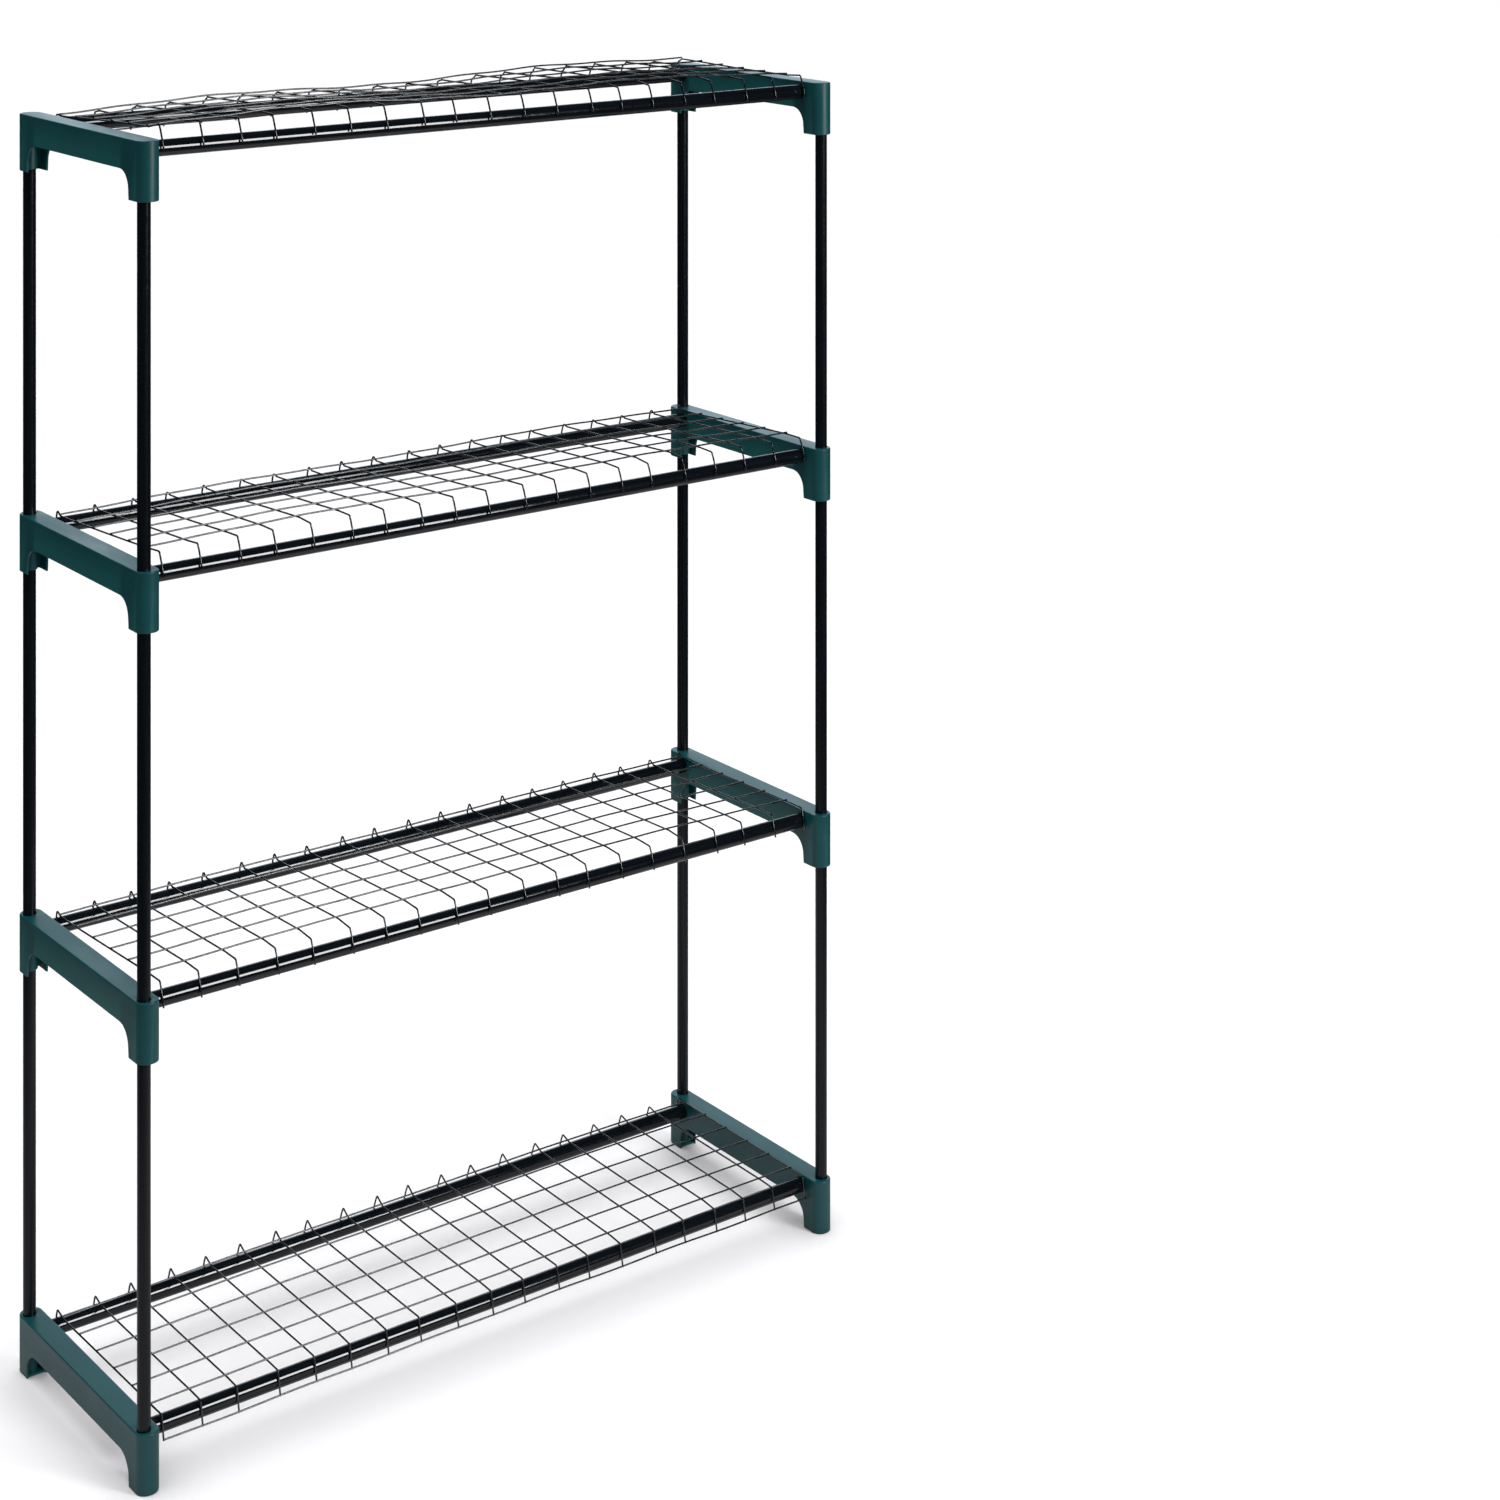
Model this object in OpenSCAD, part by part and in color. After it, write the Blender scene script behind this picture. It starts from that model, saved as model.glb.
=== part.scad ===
// Four-tier wire shelving rack: moulded end brackets, push-fit steel tubes and
// loose wire mesh shelves. X runs along the rack, Y from front (-) to rear (+),
// Z up. The origin is on the floor under the middle of the rack.

/* [Rack] */
// Overall length over the end brackets
rack_length = 900; // [700:10:1100]
// Overall depth over the end brackets
rack_depth = 307; // [280:1:400]
// Height from one shelf level to the next
level_pitch = 436; // [300:2:480]

/* [End brackets] */
// Width of a bracket along the rack
bracket_w = 25; // [24.5:0.5:30]
// Height of a bracket
bracket_h = 62; // [60:1:70]
// Height of the cross-bar between the legs
bar_h = 32; // [28:1:34]
// Depth of each leg at its foot
leg_d = 29; // [27:0.5:34]
// Thickness of the moulded walls
wall_t = 2.2; // [1.8:0.1:2.4]
// Radius of the upright edges. The default makes the ends almost half-round
corner_r = 12; // [6:0.5:12]
// Depth of the curve between leg and cross-bar
brace_d = 20; // [15:1:26]

/* [Tubes] */
// Outer diameter of the upright tubes
upright_dia = 14; // [12:0.5:14.5]
// Outer diameter of the shelf rails
rail_dia = 17.5; // [15:0.5:18]
// Wall thickness of the steel tube
tube_wall = 1; // [0.8:0.1:1.5]
// Gap between a tube and its socket, on the radius
socket_gap = 0.1; // [0.05:0.05:0.2]
// How far an upright goes into its socket
upright_grip = 27; // [20:1:27]
// How far a rail goes into its socket
rail_grip = 20; // [12:1:20]

/* [Wire mesh shelf] */
// Diameter of the mesh wire
wire_dia = 2; // [1.8:0.1:2.6]
// Number of cross wires
cross_wires = 20; // [12:1:24]
// Number of long wires in the flat of the mesh
long_wires = 6; // [4:1:6]
// Distance between two long wires
long_pitch = 43; // [30:1:44]
// Space from the end cross wires to the end brackets, with the mesh centred
mesh_end_gap = 6; // [6:1:14]
// How far the loose mesh lies to the right of the middle
mesh_shift = 4; // [0:0.5:4]
// Height of the bent-down hooks
hook_h = 25; // [20:1:30]

/* [Hidden] */

// Distances from an upright's axis to the outer face and to the bracket's end
upright_inset_x = 10;
upright_inset_y = 13;
upright_x = rack_length / 2 - upright_inset_x;
upright_y = rack_depth / 2 - upright_inset_y;
// Rail axes lie inboard of the uprights and below the bracket top
rail_inset = 20.5;
rail_drop = 12.5;
rail_y = upright_y - rail_inset;
rail_z = bracket_h - rail_drop;
rail_r = rail_dia / 2;
upright_r = upright_dia / 2;
bore_r = upright_r + socket_gap;
rail_bore_r = rail_r + socket_gap;
boss_t = 1.8;
inner_x = rack_length / 2 - bracket_w;
brace_h = bracket_h - bar_h;
foot_edge_r = 5;
// Play between a tube's end and the bottom of its socket
end_play = 0.1;
upright_z0 = bracket_h - upright_grip + end_play;
upright_z1 = level_pitch + upright_grip - end_play;
rail_end_x = inner_x + rail_grip - end_play;
rib_t = 1.8;
rib_spacing = 52;
// The flat of the mesh rests on the rails, with the long wires welded on top
wire_r = wire_dia / 2;
weld_sink = 0.4;
seat_gap = 0.08;
hook_gap = 0.6;
bend_r = 4;
mesh_z = rail_z + rail_r + seat_gap + wire_r;
long_z = mesh_z + wire_dia - weld_sink;
hook_y = rail_y + rail_r + hook_gap + wire_r;
flat_half = hook_y - bend_r;
mesh_half_x = inner_x - mesh_end_gap - wire_r;
cross_pitch = 2 * mesh_half_x / (cross_wires - 1);
long_overhang = 1.5;
round_fn = 64;
wire_fn = 24;

moulded_green = [0.02, 0.27, 0.25];
tube_black = [0.05, 0.06, 0.07];
wire_black = [0.12, 0.13, 0.14];

// Rectangle with round corners, centred on the origin
module rounded_rect(x, y, r) {
    square([x - 2 * r, y], center = true);
    square([x, y - 2 * r], center = true);
    for (sx = [-1, 1], sy = [-1, 1])
        translate([sx * (x / 2 - r), sy * (y / 2 - r)]) circle(r = r, $fn = round_fn);
}

// Side elevation of a bracket: a cross-bar on two legs, curved where they meet
module arch_outline(edge_r) {
    half = rack_depth / 2;
    translate([-half, brace_h]) square([2 * half, bar_h]);
    for (s = [0, 1]) mirror([s, 0]) {
        translate([half - leg_d, edge_r]) square([leg_d, bracket_h - edge_r]);
        translate([half - leg_d, 0]) square([leg_d - edge_r, bracket_h]);
        translate([half - edge_r, edge_r]) circle(r = edge_r, $fn = round_fn);
        difference() {
            translate([half - leg_d - brace_d, brace_h - brace_d])
                square([brace_d + 1, brace_d + 1]);
            translate([half - leg_d - brace_d, brace_h - brace_d])
                circle(r = brace_d, $fn = round_fn);
        }
    }
}

// Solid envelope of a bracket. The outer face is at x = 0
module bracket_envelope(edge_r) {
    intersection() {
        rotate([90, 0, 90]) linear_extrude(bracket_w) arch_outline(edge_r);
        translate([bracket_w / 2, 0, 0])
            linear_extrude(bracket_h) rounded_rect(bracket_w, rack_depth, corner_r);
    }
}

// Space inside the bracket, open below and between the legs
module bracket_hollow(floor_z) {
    height = bracket_h - wall_t - floor_z;
    translate([bracket_w / 2, 0, floor_z]) linear_extrude(height)
        rounded_rect(bracket_w - 2 * wall_t, rack_depth - 2 * wall_t, corner_r - wall_t);
}

// Sockets and ribs that stand in the hollow and reach into its walls
module bracket_sockets() {
    reach = wall_t / 2;
    for (s = [-1, 1]) {
        translate([upright_inset_x, s * upright_y, 0])
            cylinder(r = bore_r + boss_t, h = bracket_h - reach, $fn = round_fn);
        translate([reach, s * rail_y, rail_z]) rotate([0, 90, 0])
            cylinder(r = rail_bore_r + boss_t, h = bracket_w - 2 * reach, $fn = round_fn);
        translate([upright_inset_x, s * upright_y - rib_t / 2, 0])
            cube([bracket_w - reach - upright_inset_x, rib_t, bracket_h - reach]);
    }
    for (i = [-1, 0, 1])
        translate([reach, i * rib_spacing - rib_t / 2, brace_h + reach])
            cube([bracket_w - 2 * reach, rib_t, bar_h - 2 * reach]);
}

// Bores for both uprights and both rails
module bracket_bores(above, below) {
    for (s = [-1, 1]) {
        translate([bracket_w - rail_grip, s * rail_y, rail_z]) rotate([0, 90, 0])
            cylinder(r = rail_bore_r, h = rail_grip + 1, $fn = round_fn);
        if (above)
            translate([upright_inset_x, s * upright_y, bracket_h - upright_grip])
                cylinder(r = bore_r, h = upright_grip + 1, $fn = round_fn);
        if (below)
            translate([upright_inset_x, s * upright_y, -1])
                cylinder(r = bore_r, h = upright_grip + 1, $fn = round_fn);
    }
}

// One end bracket. Uprights enter it from above, from below or both
module bracket(above, below) {
    edge_r = below ? 0.5 : foot_edge_r;
    color(moulded_green) difference() {
        union() {
            difference() {
                bracket_envelope(edge_r);
                bracket_hollow(below ? -1 : wall_t);
            }
            intersection() {
                bracket_sockets();
                bracket_envelope(edge_r);
            }
        }
        bracket_bores(above, below);
    }
}

// Puts a bracket on a level at the left (-1) or right (1) end
module place_bracket(side, level) {
    translate([side * rack_length / 2, 0, level * level_pitch])
        mirror([side > 0 ? 1 : 0, 0, 0]) children();
}

// One section of upright between two levels
module upright(x_side, y_side, level) {
    color(tube_black)
    translate([x_side * upright_x, y_side * upright_y, level * level_pitch + upright_z0])
        difference() {
            cylinder(r = upright_r, h = upright_z1 - upright_z0, $fn = round_fn);
            translate([0, 0, -1])
                cylinder(r = upright_r - tube_wall, h = upright_z1 - upright_z0 + 2, $fn = round_fn);
        }
}

// One horizontal rail between the end brackets
module rail(y_side, level) {
    color(tube_black)
    translate([-rail_end_x, y_side * rail_y, level * level_pitch + rail_z])
        rotate([0, 90, 0]) difference() {
            cylinder(r = rail_r, h = 2 * rail_end_x, $fn = round_fn);
            translate([0, 0, -1])
                cylinder(r = rail_r - tube_wall, h = 2 * rail_end_x + 2, $fn = round_fn);
        }
}

// One cross wire: flat over both rails, with a hook bent down at each end
module cross_wire() {
    translate([0, flat_half, mesh_z]) rotate([90, 0, 0])
        cylinder(r = wire_r, h = 2 * flat_half, $fn = wire_fn);
    for (s = [0, 1]) mirror([0, s, 0]) {
        translate([0, flat_half, mesh_z - bend_r]) rotate([90, 0, 90])
            rotate_extrude(angle = 90, $fn = round_fn)
                translate([bend_r, 0]) circle(r = wire_r, $fn = wire_fn);
        translate([0, hook_y, mesh_z - hook_h])
            cylinder(r = wire_r, h = hook_h - bend_r, $fn = wire_fn);
    }
}

// One wire along the whole mesh
module long_wire(y, z) {
    half = mesh_half_x + long_overhang;
    translate([-half, y, z]) rotate([0, 90, 0])
        cylinder(r = wire_r, h = 2 * half, $fn = wire_fn);
}

// One welded mesh. Its front hooks are joined by a last long wire, its rear
// hooks are open. turn swaps front and rear.
module mesh_shelf(level, turn) {
    color(wire_black)
    translate([mesh_shift, 0, level * level_pitch]) rotate([0, 0, turn]) {
        for (i = [0 : cross_wires - 1])
            translate([i * cross_pitch - mesh_half_x, 0, 0]) cross_wire();
        for (j = [0 : long_wires - 1])
            long_wire((j - (long_wires - 1) / 2) * long_pitch, long_z);
        long_wire(-hook_y - wire_dia + weld_sink, mesh_z - hook_h + wire_dia);
    }
}

module left_foot_bracket() { place_bracket(-1, 0) bracket(true, false); }
module left_lower_bracket() { place_bracket(-1, 1) bracket(true, true); }
module left_upper_bracket() { place_bracket(-1, 2) bracket(true, true); }
module left_top_bracket() { place_bracket(-1, 3) bracket(false, true); }
module right_foot_bracket() { place_bracket(1, 0) bracket(true, false); }
module right_lower_bracket() { place_bracket(1, 1) bracket(true, true); }
module right_upper_bracket() { place_bracket(1, 2) bracket(true, true); }
module right_top_bracket() { place_bracket(1, 3) bracket(false, true); }

left_foot_bracket();
left_lower_bracket();
left_upper_bracket();
left_top_bracket();
right_foot_bracket();
right_lower_bracket();
right_upper_bracket();
right_top_bracket();
upright(-1, -1, 0);  // front_left_lower_upright
upright(-1, -1, 1);  // front_left_middle_upright
upright(-1, -1, 2);  // front_left_upper_upright
upright(1, -1, 0);  // front_right_lower_upright
upright(1, -1, 1);  // front_right_middle_upright
upright(1, -1, 2);  // front_right_upper_upright
upright(-1, 1, 0);  // rear_left_lower_upright
upright(-1, 1, 1);  // rear_left_middle_upright
upright(-1, 1, 2);  // rear_left_upper_upright
upright(1, 1, 0);  // rear_right_lower_upright
upright(1, 1, 1);  // rear_right_middle_upright
upright(1, 1, 2);  // rear_right_upper_upright
rail(-1, 0);  // front_rail_1
rail(-1, 1);  // front_rail_2
rail(-1, 2);  // front_rail_3
rail(-1, 3);  // front_rail_4
rail(1, 0);  // rear_rail_1
rail(1, 1);  // rear_rail_2
rail(1, 2);  // rear_rail_3
rail(1, 3);  // rear_rail_4
mesh_shelf(0, 0);  // mesh_shelf_1
mesh_shelf(1, 180);  // mesh_shelf_2
mesh_shelf(2, 180);  // mesh_shelf_3
mesh_shelf(3, 180);  // mesh_shelf_4
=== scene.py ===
import math

import bmesh
import bpy
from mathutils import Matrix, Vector


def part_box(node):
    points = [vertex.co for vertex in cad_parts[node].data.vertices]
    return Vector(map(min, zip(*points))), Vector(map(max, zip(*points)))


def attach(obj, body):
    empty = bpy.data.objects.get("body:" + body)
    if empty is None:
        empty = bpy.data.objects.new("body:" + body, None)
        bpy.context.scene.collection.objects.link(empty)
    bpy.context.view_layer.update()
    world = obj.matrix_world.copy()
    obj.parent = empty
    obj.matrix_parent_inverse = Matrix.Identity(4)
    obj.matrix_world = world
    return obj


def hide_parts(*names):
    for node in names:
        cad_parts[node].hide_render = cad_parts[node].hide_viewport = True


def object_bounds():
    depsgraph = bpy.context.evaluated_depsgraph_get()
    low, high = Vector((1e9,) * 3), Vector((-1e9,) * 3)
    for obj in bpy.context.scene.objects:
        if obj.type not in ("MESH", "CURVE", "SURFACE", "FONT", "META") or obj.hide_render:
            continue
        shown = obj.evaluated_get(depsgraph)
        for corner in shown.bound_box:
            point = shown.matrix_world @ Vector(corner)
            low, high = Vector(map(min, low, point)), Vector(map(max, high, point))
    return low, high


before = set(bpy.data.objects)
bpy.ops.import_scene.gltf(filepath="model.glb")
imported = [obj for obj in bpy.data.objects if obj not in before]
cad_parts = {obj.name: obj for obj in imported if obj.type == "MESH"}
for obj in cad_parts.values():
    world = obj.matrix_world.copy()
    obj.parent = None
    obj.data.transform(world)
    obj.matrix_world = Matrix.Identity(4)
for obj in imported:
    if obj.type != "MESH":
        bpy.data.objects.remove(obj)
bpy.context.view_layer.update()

# ---------------------------------------------------------------- dimensions
# Metres throughout. Places come from the frame; these are finishing sizes.
LEVELS = 4
SIDES = ("left", "right")
ENDS = ("front", "rear")
BRACKET_NAMES = ("foot", "lower", "upper", "top")
UPRIGHT_NAMES = ("lower", "middle", "upper")

TUBE_WALL = 0.001
TUBE_SEGMENTS = 48
TUBE_END_CHAMFER = 0.0003

BAR_H = 0.032
LEG_D = 0.029
BRACE_D = 0.020
CORNER_R = 0.012
CORNER_STEPS = 10
MOULD_WALL = 0.0022
LEG_DRAFT = 0.0008
TOP_EDGE = 0.0013
RIM_EDGE = 0.0006
FOOT_EDGE = 0.0017
SOCKET_GAP = 0.0001
BOSS_WALL = 0.0018
RIB_T = 0.0018
RIB_SPACING = 0.052
RIB_CLEARANCE = 0.003
RIB_FOOT = 0.004
SOCKET_RECESS = 0.0016
BLIND_DEPTH = 0.012
SLEEVE_CHAMFER = 0.0002
SOLE_SINK = 0.0004
SOLE_EDGE = 0.8 * MOULD_WALL
ARCH_STEPS = 8

WIRE_R = 0.001
WIRE_SEGMENTS = 12
WELD_SINK = 0.0004
CROSS_WIRES = 20
LONG_WIRES = 6
LONG_PITCH = 0.043
LONG_OVERHANG = 0.0015
LONG_STEPS = 76
LONG_HALF = LONG_PITCH * (LONG_WIRES - 1) / 2
MESH_HALF = 0.42
BEND_R = 0.003
BEND_STEPS = 6
HOOK_SPLAY = 0.002
# How far behind the middle the long wires lie. The lowest mesh is turned round.
BACK_SHIFT = 0.012
BACK_SHIFT_TURNED = 0.004
WAVE_LENGTH = 0.44

# Direction the scene's own camera looks in, turned from +Y towards +X
VIEW_TURN = math.radians(37.333)
LENS_SHIFT = -0.6633
# Light that the white surroundings give, and the wide light overhead
FILL_STRENGTH = 0.40
OVERHEAD_STRENGTH = 2.5

# How far each loose mesh springs up from its rails, in millimetres, at the left
# end, the middle and the right end: its flat along the front and along the rear,
# its front bends and its rear bends. wave is the height of the ripple along it.
SPRING = (
    {"front": (3, 5, 4), "rear": (1, 6, 5), "wave": 0.4,
     "front_bend": (2, 4, 2), "rear_bend": (4, 12, 6)},
    {"front": (10, 12, 8), "rear": (1, 2, 2), "wave": 0.8,
     "front_bend": (9, 10, 7), "rear_bend": (3, 7, 5)},
    {"front": (13, 16, 14), "rear": (1, 5, 5), "wave": 1.2,
     "front_bend": (13, 15, 12), "rear_bend": (3, 7, 7)},
    {"front": (13, 15, 11), "rear": (3, 8, 12), "wave": 2.6,
     "front_bend": (14, 15, 9), "rear_bend": (0, 4, 7)},
)


# ---------------------------------------------------------------- node helpers
def new_material(name):
    """An empty node material with its output, shader and object coordinates."""
    mat = bpy.data.materials.new(name)
    mat.use_nodes = True
    nodes = mat.node_tree.nodes
    nodes.clear()
    output = nodes.new("ShaderNodeOutputMaterial")
    shader = nodes.new("ShaderNodeBsdfPrincipled")
    coords = nodes.new("ShaderNodeTexCoord")
    mat.node_tree.links.new(shader.outputs["BSDF"], output.inputs["Surface"])
    return mat, shader, coords.outputs["Object"]


def noise(mat, vector, scale, detail=2.0, stretch=(1, 1, 1)):
    """Noise texture on object coordinates, stretched along chosen axes."""
    nodes, links = mat.node_tree.nodes, mat.node_tree.links
    mapping = nodes.new("ShaderNodeMapping")
    mapping.inputs["Scale"].default_value = stretch
    links.new(vector, mapping.inputs["Vector"])
    tex = nodes.new("ShaderNodeTexNoise")
    tex.inputs["Scale"].default_value = scale
    tex.inputs["Detail"].default_value = detail
    links.new(mapping.outputs["Vector"], tex.inputs["Vector"])
    return tex.outputs["Fac"]


def remap(mat, value, low, high, out_low, out_high):
    """Maps a value from one range to another, clamped."""
    nodes, links = mat.node_tree.nodes, mat.node_tree.links
    node = nodes.new("ShaderNodeMapRange")
    node.inputs["From Min"].default_value = low
    node.inputs["From Max"].default_value = high
    node.inputs["To Min"].default_value = out_low
    node.inputs["To Max"].default_value = out_high
    links.new(value, node.inputs["Value"])
    return node.outputs["Result"]


def mix_colour(mat, factor, first, second):
    """Mixes two colours; either can be a socket or a tuple."""
    nodes, links = mat.node_tree.nodes, mat.node_tree.links
    node = nodes.new("ShaderNodeMix")
    node.data_type = "RGBA"
    links.new(factor, node.inputs["Factor"])
    for socket, colour in ((node.inputs[6], first), (node.inputs[7], second)):
        if isinstance(colour, tuple):
            socket.default_value = (*colour, 1)
        else:
            links.new(colour, socket)
    return node.outputs[2]


def bump(mat, shader, layers):
    """Chains bump layers (height, strength, distance) into the shader's normal."""
    nodes, links = mat.node_tree.nodes, mat.node_tree.links
    normal = None
    for height, strength, distance in layers:
        node = nodes.new("ShaderNodeBump")
        node.inputs["Strength"].default_value = strength
        node.inputs["Distance"].default_value = distance
        links.new(height, node.inputs["Height"])
        if normal is not None:
            links.new(normal, node.inputs["Normal"])
        normal = node.outputs["Normal"]
    links.new(normal, shader.inputs["Normal"])


# ---------------------------------------------------------------- materials
def moulded_plastic():
    """Dark green moulded plastic: faint flow marks, fine skin and a painted highlight on its convex
    edges.
    """
    mat, shader, coords = new_material("moulded_plastic")
    links = mat.node_tree.links
    clouds = noise(mat, coords, 14, 3)
    flow = noise(mat, coords, 30, 4, (1, 0.25, 1.6))
    skin = noise(mat, coords, 1500, 2)
    base = mix_colour(mat, remap(mat, clouds, 0.35, 0.65, 0, 1),
                      (0.0005, 0.046, 0.053), (0.0008, 0.056, 0.064))
    base = mix_colour(mat, remap(mat, flow, 0.55, 0.75, 0, 0.5), base, (0.0015, 0.068, 0.071))
    # Painted highlight: convex edges, found by their pointiness, are mixed towards a paler green.
    geometry = mat.node_tree.nodes.new("ShaderNodeNewGeometry")
    painted_edge_highlight = remap(mat, geometry.outputs["Pointiness"], 0.52, 0.60, 0, 0.4)
    base = mix_colour(mat, painted_edge_highlight, base, (0.012, 0.135, 0.130))
    links.new(base, shader.inputs["Base Color"])
    links.new(remap(mat, flow, 0.3, 0.7, 0.30, 0.42), shader.inputs["Roughness"])
    shader.inputs["Specular IOR Level"].default_value = 0.5
    bump(mat, shader, ((flow, 0.10, 0.0006), (skin, 0.12, 0.00008)))
    return mat


def coated_tube(name, along, roughness, specular):
    """Black coated steel: draw lines along the tube, orange peel and a few dust specks."""
    mat, shader, coords = new_material(name)
    links = mat.node_tree.links
    stretch = tuple(0.02 if axis == along else 1 for axis in "xyz")
    draw = noise(mat, coords, 420, 3, stretch)
    peel = noise(mat, coords, 260, 2)
    specks = noise(mat, coords, 900, 1)
    base = mix_colour(mat, remap(mat, draw, 0.4, 0.7, 0, 1),
                      (0.0020, 0.0032, 0.0048), (0.0040, 0.0060, 0.0088))
    base = mix_colour(mat, remap(mat, specks, 0.76, 0.82, 0, 0.3), base, (0.07, 0.075, 0.08))
    links.new(base, shader.inputs["Base Color"])
    links.new(remap(mat, peel, 0.3, 0.7, roughness * 0.8, roughness * 1.25), shader.inputs["Roughness"])
    shader.inputs["Specular IOR Level"].default_value = specular
    bump(mat, shader, ((draw, 0.03, 0.00005), (peel, 0.03, 0.0001)))
    return mat


def coated_wire():
    """Satin black wire coating, with thin spots where the coating pulled back."""
    mat, shader, coords = new_material("wire_coating")
    links = mat.node_tree.links
    patches = noise(mat, coords, 60, 3)
    grit = noise(mat, coords, 1400, 2)
    base = mix_colour(mat, remap(mat, patches, 0.45, 0.7, 0, 1),
                      (0.002, 0.0023, 0.003), (0.005, 0.0055, 0.0065))
    base = mix_colour(mat, remap(mat, grit, 0.70, 0.78, 0, 0.4), base, (0.05, 0.05, 0.052))
    links.new(base, shader.inputs["Base Color"])
    links.new(remap(mat, patches, 0.3, 0.7, 0.16, 0.28), shader.inputs["Roughness"])
    shader.inputs["Specular IOR Level"].default_value = 1.0
    shader.inputs["Coat Weight"].default_value = 0.5
    shader.inputs["Coat Roughness"].default_value = 0.25
    bump(mat, shader, ((grit, 0.2, 0.0001),))
    return mat


def away_from_rack(mat, coords, near, far):
    """Grows from 0 at one distance from the rack's middle to 1 at a larger one."""
    nodes, links = mat.node_tree.nodes, mat.node_tree.links
    length = nodes.new("ShaderNodeVectorMath")
    length.operation = "LENGTH"
    links.new(coords, length.inputs[0])
    ramp = nodes.new("ShaderNodeMapRange")
    ramp.interpolation_type = "SMOOTHSTEP"
    ramp.inputs["From Min"].default_value = near
    ramp.inputs["From Max"].default_value = far
    links.new(length.outputs["Value"], ramp.inputs["Value"])
    return ramp.outputs["Result"]


def combine(mat, operation, first, second):
    """Maths on a socket and a socket or number."""
    node = mat.node_tree.nodes.new("ShaderNodeMath")
    node.operation = operation
    mat.node_tree.links.new(first, node.inputs[0])
    if isinstance(second, (int, float)):
        node.inputs[1].default_value = second
    else:
        mat.node_tree.links.new(second, node.inputs[1])
    return node.outputs[0]


def pale_floor():
    """Plain white studio floor. Gloss and bounce see it dimmer, and gloss only nearby."""
    mat, shader, coords = new_material("studio_floor")
    links = mat.node_tree.links
    path = mat.node_tree.nodes.new("ShaderNodeLightPath")
    tone = noise(mat, coords, 3, 2)
    shade = mix_colour(mat, tone, (0.865, 0.86, 0.875), (0.88, 0.875, 0.89))
    distance_dimming = remap(mat, away_from_rack(mat, coords, 0.5, 1.8), 0, 1, 0.5, 1)
    gloss_dimming = combine(mat, "MULTIPLY", path.outputs["Is Glossy Ray"], distance_dimming)
    bounce_dimming = combine(mat, "MULTIPLY", path.outputs["Is Diffuse Ray"], 0.55)
    dimming = combine(mat, "MAXIMUM", gloss_dimming, bounce_dimming)
    shade = mix_colour(mat, dimming, shade, (0.02, 0.02, 0.02))
    links.new(shade, shader.inputs["Base Color"])
    shader.inputs["Roughness"].default_value = 0.95
    shader.inputs["Specular IOR Level"].default_value = 0.0
    return mat


# ---------------------------------------------------------------- mesh helpers
def finish_piece(name, bm, material, body, node):
    """Makes a smooth object of a bmesh, rides it on a body and replaces a CAD node."""
    bmesh.ops.recalc_face_normals(bm, faces=bm.faces)
    mesh = bpy.data.meshes.new(name)
    bm.to_mesh(mesh)
    bm.free()
    mesh.materials.append(material)
    mesh.shade_smooth()
    obj = bpy.data.objects.new(name, mesh)
    bpy.context.scene.collection.objects.link(obj)
    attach(obj, body)
    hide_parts(node)
    return obj


def ring(bm, centre, side, up, radius, segments):
    """One ring of vertices round a centre, in the plane of two unit vectors."""
    turn = 2 * math.pi / segments
    return [bm.verts.new(centre + radius * (math.cos(i * turn) * side + math.sin(i * turn) * up))
            for i in range(segments)]


def bridge(bm, first, second):
    """Quads between two rings of equal length."""
    count = len(first)
    for i in range(count):
        j = (i + 1) % count
        bm.faces.new((first[i], first[j], second[j], second[i]))


def sweep_wire(bm, path, radius, segments):
    """A closed round wire along a path, with rounded cut ends."""
    points = [Vector(p) for p in path]
    tangents = []
    for i, point in enumerate(points):
        before = points[max(i - 1, 0)]
        after = points[min(i + 1, len(points) - 1)]
        tangents.append((after - before).normalized())
    side = tangents[0].orthogonal().normalized()
    rings = []
    for i, (point, tangent) in enumerate(zip(points, tangents)):
        side = (side - side.dot(tangent) * tangent).normalized()
        up = tangent.cross(side)
        is_end = i in (0, len(points) - 1)
        if is_end:
            sign = -1 if i == 0 else 1
            tip = ring(bm, point, side, up, radius * 0.6, segments)
            shoulder = ring(bm, point - sign * tangent * radius * 0.35, side, up, radius, segments)
            rings += [tip, shoulder] if i == 0 else [shoulder, tip]
        else:
            rings.append(ring(bm, point, side, up, radius, segments))
    for first, second in zip(rings, rings[1:]):
        bridge(bm, first, second)
    bm.faces.new(list(reversed(rings[0])))
    bm.faces.new(rings[-1])


def build_tube(name, node, along, material):
    """A hollow tube with chamfered ends that fills a CAD node's box."""
    low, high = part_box(node)
    axis = "xyz".index(along)
    direction = Vector((0, 0, 0))
    direction[axis] = 1
    outer = (high.y - low.y) / 2
    bm = bmesh.new()
    add_sleeve(bm, (low + high) / 2, direction, (high[axis] - low[axis]) / 2,
               outer, outer - TUBE_WALL, TUBE_END_CHAMFER)
    obj = finish_piece(name, bm, material, "frame", node)
    mark_sharp(obj, 30)


def mark_sharp(obj, degrees):
    """Smooth shading with sharp edges above an angle."""
    obj.data.set_sharp_from_angle(angle=math.radians(degrees))


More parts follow.
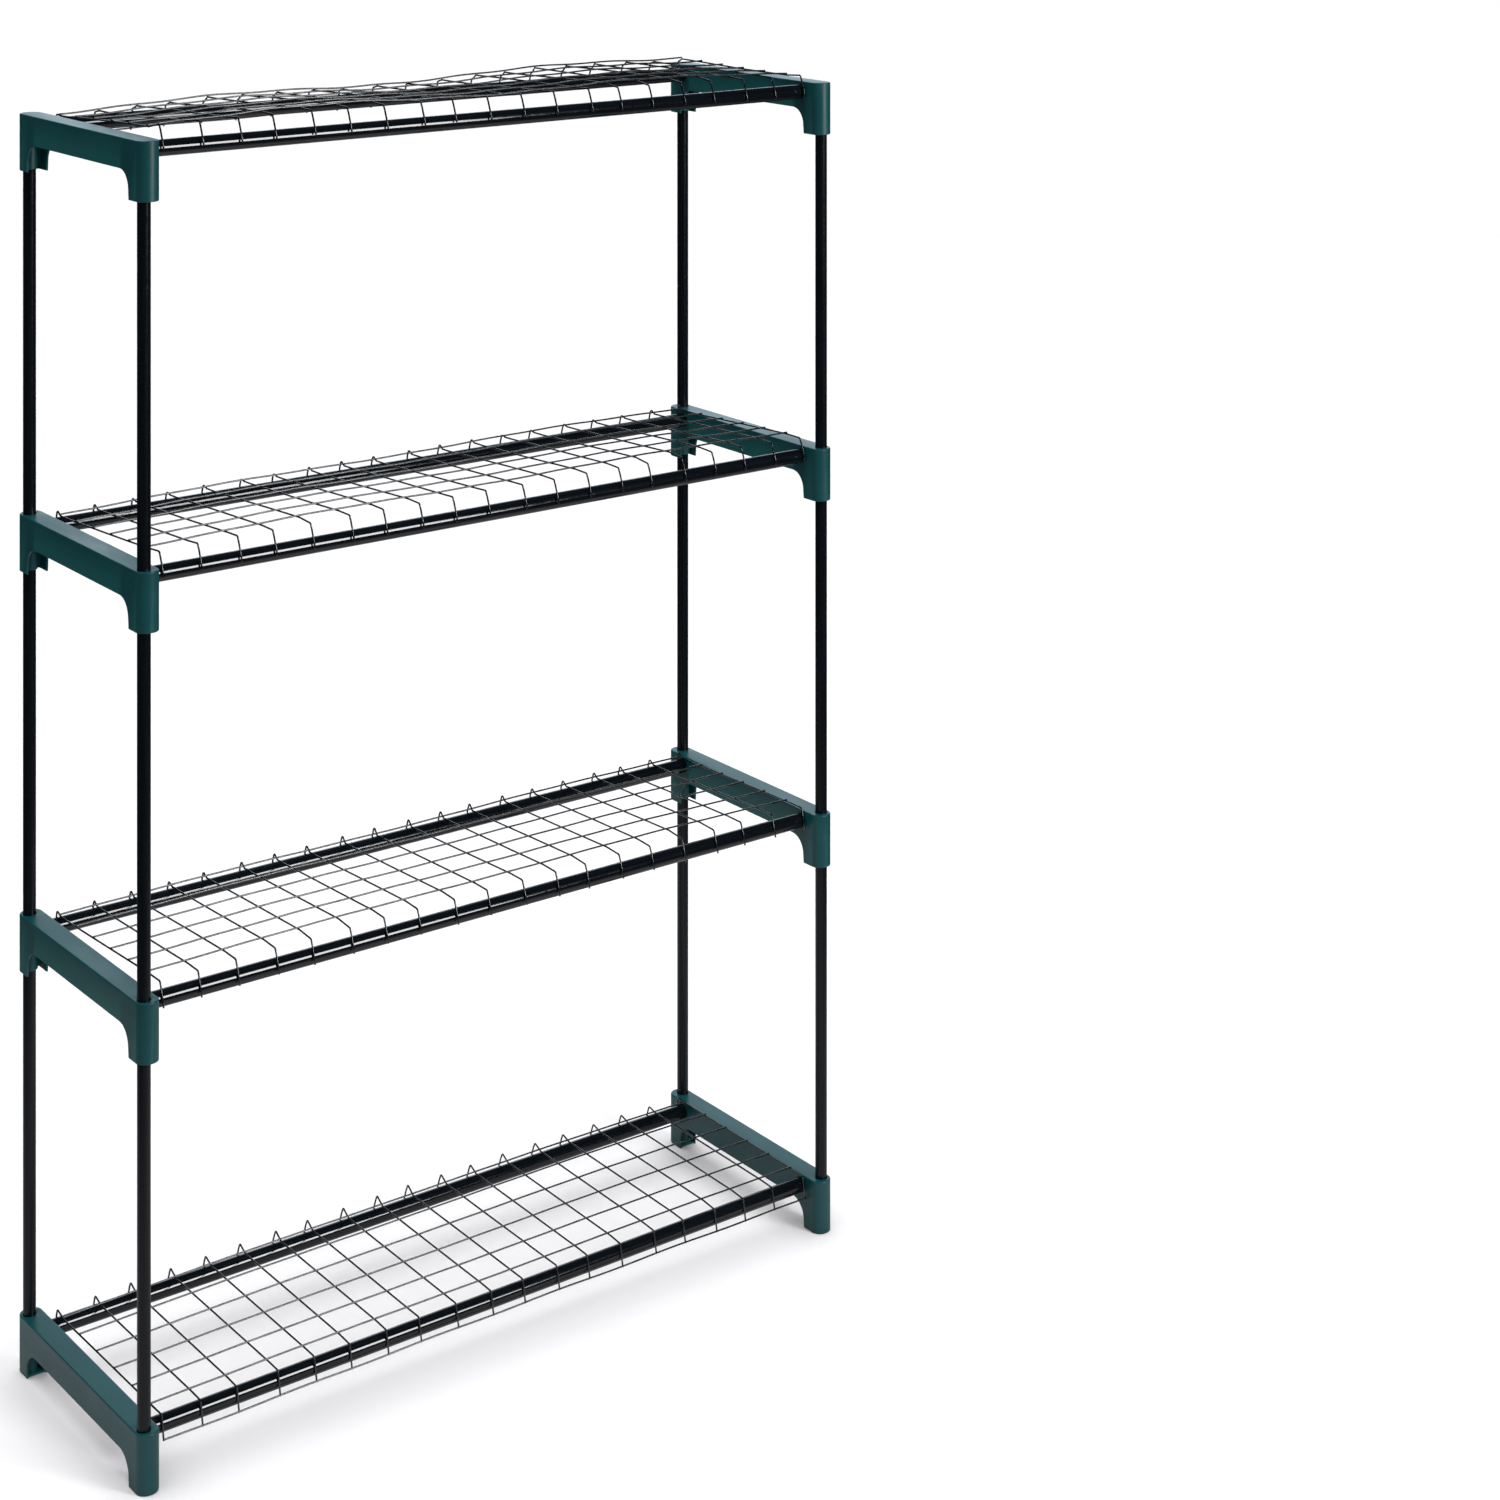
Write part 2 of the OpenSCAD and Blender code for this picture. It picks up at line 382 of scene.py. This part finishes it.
# ---------------------------------------------------------------- brackets
def side_stations(half_depth, bar_bottom):
    """Rear half of a bracket's straight side: place, rim height and the rim's push."""
    curve_y = half_depth - LEG_D - BRACE_D
    curve_z = bar_bottom - BRACE_D
    stations = [(curve_y * k / 3, bar_bottom, 0, 1) for k in range(3)]
    for k in range(ARCH_STEPS + 1):
        angle = math.pi / 2 * k / ARCH_STEPS
        stations.append((curve_y + BRACE_D * math.sin(angle), curve_z + BRACE_D * math.cos(angle),
                         math.sin(angle), math.cos(angle)))
    stations.append((half_depth - LEG_D + LEG_DRAFT, 0, 1, 1))
    return stations


def plan_stations(width, half_depth, bar_bottom):
    """Anticlockwise plan outline: anchor, outward direction, rim height and push."""
    rear = side_stations(half_depth, bar_bottom)
    front = [(-y, z, -push_y, push_z) for y, z, push_y, push_z in reversed(rear[1:])]
    along = front + rear
    corner_y = half_depth - CORNER_R
    loop = [(width - CORNER_R, y, 1, 0, z, push_y, push_z) for y, z, push_y, push_z in along]
    corners = ((width - CORNER_R, corner_y, 0), (CORNER_R, corner_y, 90),
               (CORNER_R, -corner_y, 180), (width - CORNER_R, -corner_y, 270))
    for index, (u, y, start) in enumerate(corners):
        if index == 2:
            loop += [(CORNER_R, y2, -1, 0, z, push_y, push_z)
                     for y2, z, push_y, push_z in reversed(along)]
        for k in range(CORNER_STEPS + 1):
            angle = math.radians(start + 90 * k / CORNER_STEPS)
            out_u, out_y = math.cos(angle), math.sin(angle)
            loop.append((u, y, out_u, out_y, 0, 0, 1))
    return loop


def shell_ring(bm, loop, to_world, inset, z=None, push=0.0):
    """One ring of the shell: at a height, or along the rim pushed into the wall."""
    ring_verts = []
    for u, y, out_u, out_y, low, push_y, push_z in loop:
        reach = CORNER_R - inset
        height = low + push_z * push if z is None else z
        place = to_world(u + out_u * reach, y + out_y * reach + push_y * push, height)
        ring_verts.append(bm.verts.new(place))
    return ring_verts


def loop_edges(bm, verts):
    """The closed chain of edges through a ring of vertices."""
    pairs = zip(verts, verts[1:] + verts[:1])
    return [bm.edges.get(pair) or bm.edges.new(pair) for pair in pairs]


def add_socket(bm, to_world, u, y, bore_r, ceiling, top, is_open_above):
    """An upright's socket, turned from the ceiling down and up its bore to the top."""
    boss_r = bore_r + BOSS_WALL
    mouth = SOCKET_RECESS
    profile = [(boss_r, ceiling), (boss_r, mouth + RIM_EDGE), (boss_r - RIM_EDGE, mouth),
               (bore_r + RIM_EDGE, mouth), (bore_r, mouth + RIM_EDGE)]
    if is_open_above:
        profile += [(bore_r, top - RIM_EDGE), (bore_r + RIM_EDGE, top)]
    else:
        profile += [(bore_r, top - BLIND_DEPTH)]
    turns = [2 * math.pi * i / TUBE_SEGMENTS for i in range(TUBE_SEGMENTS)]
    rings = []
    for radius, z in profile:
        places = [to_world(u + radius * math.cos(turn), y + radius * math.sin(turn), z) for turn in turns]
        rings.append([bm.verts.new(place) for place in places])
    for first, second in zip(rings, rings[1:]):
        bridge(bm, first, second)
    if not is_open_above:
        bm.faces.new(rings[-1])
    return rings[0], rings[-1]


def add_sleeve(bm, centre, direction, half, outer, inner, chamfer):
    """A closed thick-walled sleeve round an axis, with chamfered ends."""
    side = Vector((0, 1, 0))
    up = direction.cross(side)
    profile = [(-half, inner + chamfer), (-half, outer - chamfer), (-half + chamfer, outer),
               (half - chamfer, outer), (half, outer - chamfer), (half, inner + chamfer),
               (half - chamfer, inner), (-half + chamfer, inner)]
    rings = [ring(bm, centre + direction * place, side, up, radius, TUBE_SEGMENTS)
             for place, radius in profile]
    for first, second in zip(rings, rings[1:] + rings[:1]):
        bridge(bm, first, second)


def add_rib(bm, to_world, u_range, y, z_range, thickness):
    """A thin stiffening rib, tapered towards its lower edge as a moulding needs."""
    near, far = u_range
    corners = []
    for z, half in ((z_range[0], thickness * 0.35), (z_range[1], thickness * 0.5)):
        outline = ((near, -half), (far, -half), (far, half), (near, half))
        corners.append([bm.verts.new(to_world(u, y + across, z)) for u, across in outline])
    bridge(bm, corners[0], corners[1])
    bm.faces.new(corners[0])
    bm.faces.new(corners[1])


def add_sole(bm, to_world, width, half_depth):
    """The closed sole of a foot, sunk slightly inside its rim, one for each leg."""
    reach = CORNER_R - SOLE_EDGE
    corner_y = half_depth - CORNER_R
    inner_y = half_depth - LEG_D + LEG_DRAFT + SOLE_EDGE
    for sign in (-1, 1):
        outline = [(width - SOLE_EDGE, inner_y), (SOLE_EDGE, inner_y)]
        for u, start in ((CORNER_R, 180), (width - CORNER_R, 90)):
            for k in range(CORNER_STEPS + 1):
                angle = math.radians(start - 90 * k / CORNER_STEPS)
                outline.append((u + reach * math.cos(angle), corner_y + reach * math.sin(angle)))
        under = [bm.verts.new(to_world(u, sign * y, SOLE_SINK)) for u, y in outline]
        above = [bm.verts.new(to_world(u, sign * y, SOLE_SINK + MOULD_WALL)) for u, y in outline]
        bridge(bm, under, above)
        bm.faces.new(under)
        bm.faces.new(above)


def build_bracket(name, node, side, is_foot, is_open_above, material):
    """One end bracket: an upside-down tub with an arched rim, sockets and ribs inside."""
    low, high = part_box(node)
    width = high.x - low.x
    height = high.z - low.z
    half_depth = (high.y - low.y) / 2
    inward = 1 if side == "left" else -1
    outer_x = low.x if side == "left" else high.x

    def to_world(u, y, z):
        return Vector((outer_x + inward * u, y, low.z + z))

    bar_bottom = height - BAR_H
    ceiling = height - MOULD_WALL
    loop = plan_stations(width, half_depth, bar_bottom)
    bm = bmesh.new()
    rings = [shell_ring(bm, loop, to_world, MOULD_WALL, ceiling),
             shell_ring(bm, loop, to_world, MOULD_WALL, push=RIM_EDGE / 2),
             shell_ring(bm, loop, to_world, MOULD_WALL - RIM_EDGE / 2)]
    rim_edge = FOOT_EDGE if is_foot else RIM_EDGE
    for degrees in (0, 30, 60, 90):
        angle = math.radians(degrees)
        rings.append(shell_ring(bm, loop, to_world, rim_edge * (1 - math.sin(angle)),
                                push=rim_edge * (1 - math.cos(angle))))
    rings.append(shell_ring(bm, loop, to_world, 0, height - TOP_EDGE))
    for degrees in (30, 60, 90):
        angle = math.radians(degrees)
        rings.append(shell_ring(bm, loop, to_world, TOP_EDGE * (1 - math.cos(angle)),
                                height - TOP_EDGE + TOP_EDGE * math.sin(angle)))
    for first, second in zip(rings, rings[1:]):
        bridge(bm, first, second)

    upright_low, upright_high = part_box(f"rear_{side}_lower_upright")
    upright_u = abs((upright_low.x + upright_high.x) / 2 - outer_x)
    upright_y = (upright_low.y + upright_high.y) / 2
    bore_r = (upright_high.x - upright_low.x) / 2 + SOCKET_GAP
    ceiling_edges = loop_edges(bm, rings[0])
    top_edges = loop_edges(bm, rings[-1])
    for sign in (-1, 1):
        at_ceiling, at_top = add_socket(bm, to_world, upright_u, sign * upright_y, bore_r,
                                        ceiling, height, is_open_above)
        ceiling_edges += loop_edges(bm, at_ceiling)
        if is_open_above:
            top_edges += loop_edges(bm, at_top)
    bmesh.ops.triangle_fill(bm, edges=ceiling_edges, use_beauty=True)
    bmesh.ops.triangle_fill(bm, edges=top_edges, use_beauty=True)

    rail_low, rail_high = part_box("rear_rail_1")
    rail_y = (rail_low.y + rail_high.y) / 2
    rail_z = (rail_low.z + rail_high.z) / 2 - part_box("left_foot_bracket")[0].z
    rail_bore = (rail_high.z - rail_low.z) / 2 + SOCKET_GAP
    reach = MOULD_WALL / 2
    for sign in (-1, 1):
        add_sleeve(bm, to_world(width / 2, sign * rail_y, rail_z), Vector((1, 0, 0)),
                   width / 2 - reach, rail_bore + BOSS_WALL, rail_bore, SLEEVE_CHAMFER)
        add_rib(bm, to_world, (upright_u + bore_r + reach, width - reach), sign * upright_y,
                (RIB_FOOT, ceiling + reach), RIB_T)
    for k in (-1, 0, 1):
        add_rib(bm, to_world, (reach, width - reach), k * RIB_SPACING,
                (bar_bottom + RIB_CLEARANCE, ceiling + reach), RIB_T)
    if is_foot:
        add_sole(bm, to_world, width, half_depth)
    obj = finish_piece(name, bm, material, "frame", node)
    mark_sharp(obj, 50)
    weighted = obj.modifiers.new("flat_faces", "WEIGHTED_NORMAL")
    weighted.keep_sharp = True


# ---------------------------------------------------------------- wire mesh
def along_mesh(values, x):
    """A curve through a left, middle and right value."""
    left, middle, right = values
    t = x / MESH_HALF
    return middle + (right - left) / 2 * t + ((left + right) / 2 - middle) * t * t


def flat_rise(level, x, y):
    """How far the flat of a loose mesh springs up from its rails at a place."""
    spring = SPRING[level]
    share = min(max(y / LONG_HALF / 2 + 0.5, 0), 1)
    front = along_mesh(spring["front"], x)
    rear = along_mesh(spring["rear"], x)
    wave = math.cos(2 * math.pi * (x - WAVE_LENGTH / 2) / WAVE_LENGTH)
    wave += 0.25 * math.sin(x * 57 + level * 2.1 + y * 20)
    rise = front + (rear - front) * share + spring["wave"] * wave
    return 0.001 * max(rise, 0)


def bend_rise(level, x, sign):
    """How far the bend over the front (-1) or rear (1) rail springs up."""
    name = "rear_bend" if sign > 0 else "front_bend"
    flutter = 0.5 + 0.5 * math.sin(x * 39 + level * 1.7 + sign)
    return 0.001 * (along_mesh(SPRING[level][name], x) + flutter)


def cross_wire_path(x, level, z, hook_y, hook_h, long_ys):
    """Hook, bend, flat over the rails, bend, hook: one cross wire from front to rear."""
    path = []
    for sign in (-1, 1):
        rise = bend_rise(level, x, sign)
        top = z + rise
        shoulder = hook_y - min(0.001 + 0.5 * rise, 0.007)
        flat = shoulder - BEND_R
        tip = hook_y + HOOK_SPLAY
        leg = [(x, sign * tip, top - hook_h),
               (x, sign * (tip + (shoulder - tip) * 0.4), top - hook_h * 0.6),
               (x, sign * (tip + (shoulder - tip) * 0.85), top - BEND_R - 0.002)]
        for step in range(BEND_STEPS + 1):
            angle = math.pi / 2 * step / BEND_STEPS
            leg.append((x, sign * (flat + BEND_R * math.cos(angle)),
                        top - BEND_R + BEND_R * math.sin(angle)))
        path.append(leg)
    middle = []
    for y in long_ys:
        for step in (-0.06, 0.06, 0.5):
            place = y + step * LONG_PITCH
            if long_ys[0] - 0.004 < place < min(long_ys[-1], hook_y - 0.011) + 0.001:
                middle.append((x, place, z + flat_rise(level, x, place)))
    return path[0] + middle + list(reversed(path[1]))


def cross_wire_places(level, first_x, last_x):
    """Places of the cross wires, slightly uneven as hand-loaded welding leaves them."""
    places = []
    for i in range(CROSS_WIRES):
        x = first_x + (last_x - first_x) * i / (CROSS_WIRES - 1)
        is_end = i in (0, CROSS_WIRES - 1)
        uneven = 0.0016 * math.sin(i * 2.4 + level * 1.3) + 0.0012 * math.sin(i * 5.1 + level)
        places.append(x if is_end else x + uneven)
    return places


def build_mesh_shelf(level, material):
    """One welded mesh: cross wires with hooks, long wires on top and the lip wire."""
    node = f"mesh_shelf_{level + 1}"
    low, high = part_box(node)
    lip_sign = -1 if abs(low.y) > high.y else 1
    hook_y = min(abs(low.y), high.y) - WIRE_R
    z = high.z - 3 * WIRE_R + WELD_SINK
    hook_h = z - low.z
    first_x = low.x + LONG_OVERHANG
    last_x = high.x - LONG_OVERHANG
    shift = BACK_SHIFT if lip_sign > 0 else BACK_SHIFT_TURNED
    long_ys = [(j - (LONG_WIRES - 1) / 2) * LONG_PITCH + shift for j in range(LONG_WIRES)]
    bm = bmesh.new()
    for x in cross_wire_places(level, first_x, last_x):
        sweep_wire(bm, cross_wire_path(x, level, z, hook_y, hook_h, long_ys), WIRE_R, WIRE_SEGMENTS)
    inner = [first_x + (last_x - first_x) * k / LONG_STEPS for k in range(LONG_STEPS + 1)]
    stations = [low.x] + inner + [high.x]
    weld_lift = 2 * WIRE_R - WELD_SINK
    for y in long_ys:
        sweep_wire(bm, [(x, y, z + weld_lift + flat_rise(level, x, y)) for x in stations],
                   WIRE_R, WIRE_SEGMENTS)
    lip_y = lip_sign * (hook_y + HOOK_SPLAY + weld_lift - 0.0004)
    lip_z = z - hook_h + 2 * WIRE_R
    sweep_wire(bm, [(x, lip_y, lip_z + bend_rise(level, x, lip_sign)) for x in stations],
               WIRE_R, WIRE_SEGMENTS)
    obj = finish_piece(f"wire_mesh_{level + 1}", bm, material, f"shelf_{level + 1}", node)
    mark_sharp(obj, 50)


# ---------------------------------------------------------------- stage
def build_floor():
    """A wide pale floor at the height of the feet."""
    bm = bmesh.new()
    bmesh.ops.create_grid(bm, x_segments=8, y_segments=8, size=30)
    mesh = bpy.data.meshes.new("studio_floor")
    bm.to_mesh(mesh)
    bm.free()
    mesh.materials.append(pale_floor())
    floor = bpy.data.objects.new("studio_floor", mesh)
    floor.location.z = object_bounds()[0].z
    bpy.context.scene.collection.objects.link(floor)


def add_softbox(name, place, target, size_x, size_y, power):
    """A rectangular area light that faces a target."""
    light = bpy.data.lights.new(name, "AREA")
    light.shape = "RECTANGLE"
    light.size = size_x
    light.size_y = size_y
    light.energy = power
    obj = bpy.data.objects.new(name, light)
    obj.location = place
    obj.rotation_mode = "QUATERNION"
    obj.rotation_quaternion = (Vector(target) - Vector(place)).to_track_quat("-Z", "Y")
    bpy.context.scene.collection.objects.link(obj)


def add_overhead_light():
    """Wide soft light from above and slightly behind; it casts the rack's shadow."""
    light = bpy.data.lights.new("overhead", "SUN")
    light.energy = OVERHEAD_STRENGTH
    light.angle = math.radians(85)
    obj = bpy.data.objects.new("overhead", light)
    obj.rotation_mode = "QUATERNION"
    obj.rotation_quaternion = Vector((0.10, -0.22, -1)).to_track_quat("-Z", "Y")
    obj.visible_glossy = False
    bpy.context.scene.collection.objects.link(obj)


def build_world():
    """White sweep: white to the camera; to gloss, bright only low behind the rack."""
    world = bpy.data.worlds.new("studio")
    bpy.context.scene.world = world
    world.use_nodes = True
    nodes, links = world.node_tree.nodes, world.node_tree.links
    nodes.clear()
    output = nodes.new("ShaderNodeOutputWorld")
    background = nodes.new("ShaderNodeBackground")
    path = nodes.new("ShaderNodeLightPath")
    coords = nodes.new("ShaderNodeTexCoord")
    away = nodes.new("ShaderNodeVectorMath")
    away.operation = "DOT_PRODUCT"
    away.inputs[1].default_value = (math.sin(VIEW_TURN), math.cos(VIEW_TURN), 0)
    links.new(coords.outputs["Generated"], away.inputs[0])
    behind = nodes.new("ShaderNodeMapRange")
    behind.interpolation_type = "SMOOTHSTEP"
    behind.inputs["From Min"].default_value = 0.8
    behind.inputs["From Max"].default_value = 1.0
    behind.inputs["To Min"].default_value = 0.02
    behind.inputs["To Max"].default_value = 1.7
    links.new(away.outputs["Value"], behind.inputs["Value"])
    gloss = nodes.new("ShaderNodeMix")
    seen = nodes.new("ShaderNodeMapRange")
    seen.inputs["To Min"].default_value = FILL_STRENGTH
    links.new(path.outputs["Is Camera Ray"], seen.inputs["Value"])
    links.new(seen.outputs["Result"], gloss.inputs[2])
    links.new(path.outputs["Is Glossy Ray"], gloss.inputs[0])
    links.new(behind.outputs["Result"], gloss.inputs[3])
    links.new(gloss.outputs[0], background.inputs["Strength"])
    tint = nodes.new("ShaderNodeMix")
    tint.data_type = "RGBA"
    tint.inputs[6].default_value = (1, 1, 1, 1)
    tint.inputs[7].default_value = (0.84, 1.0, 1.12, 1)
    links.new(path.outputs["Is Glossy Ray"], tint.inputs[0])
    links.new(tint.outputs[2], background.inputs["Color"])
    links.new(background.outputs["Background"], output.inputs["Surface"])


def build_camera():
    """Upright shift-lens camera; the shift is on while the camera turns by XYZ angles."""
    data = bpy.data.cameras.new("camera")
    data.lens = 71.04
    data.sensor_width = 36
    data.clip_end = 100
    cam = bpy.data.objects.new("camera", data)
    cam.location = (-1.7719, -2.9005, 1.7603)
    cam.rotation_mode = "XYZ"
    cam.rotation_euler = (math.radians(90), 0, -VIEW_TURN)
    bpy.context.scene.collection.objects.link(cam)
    bpy.context.scene.camera = cam
    curve = data.driver_add("shift_y")
    curve.driver.type = "SUM"
    mode = curve.driver.variables.new()
    mode.name = "mode"
    mode.targets[0].id = cam
    mode.targets[0].data_path = "rotation_mode"
    slope = curve.modifiers[0] if len(curve.modifiers) else curve.modifiers.new("GENERATOR")
    slope.coefficients = (0, LENS_SHIFT)


# ---------------------------------------------------------------- assembly
green = moulded_plastic()
rail_black = coated_tube("rail_coating", "x", 0.09, 0.5)
upright_black = coated_tube("upright_coating", "z", 0.22, 0.3)
wire_black = coated_wire()

for side in SIDES:
    for level_name in BRACKET_NAMES:
        build_bracket(f"{side}_{level_name}_moulding", f"{side}_{level_name}_bracket", side,
                      level_name == "foot", level_name != "top", green)
for end in ENDS:
    for side in SIDES:
        for level_name in UPRIGHT_NAMES:
            node = f"{end}_{side}_{level_name}_upright"
            build_tube(f"{node}_tube", node, "z", upright_black)
    for level in range(LEVELS):
        node = f"{end}_rail_{level + 1}"
        build_tube(f"{node}_tube", node, "x", rail_black)
for level in range(LEVELS):
    build_mesh_shelf(level, wire_black)

build_floor()
build_world()
build_camera()
add_softbox("key_softbox", (1.4, -3.2, 1.9), (-0.2, 0, 1.0), 0.9, 1.4, 75)
add_overhead_light()
bpy.context.scene.view_settings.view_transform = "Standard"
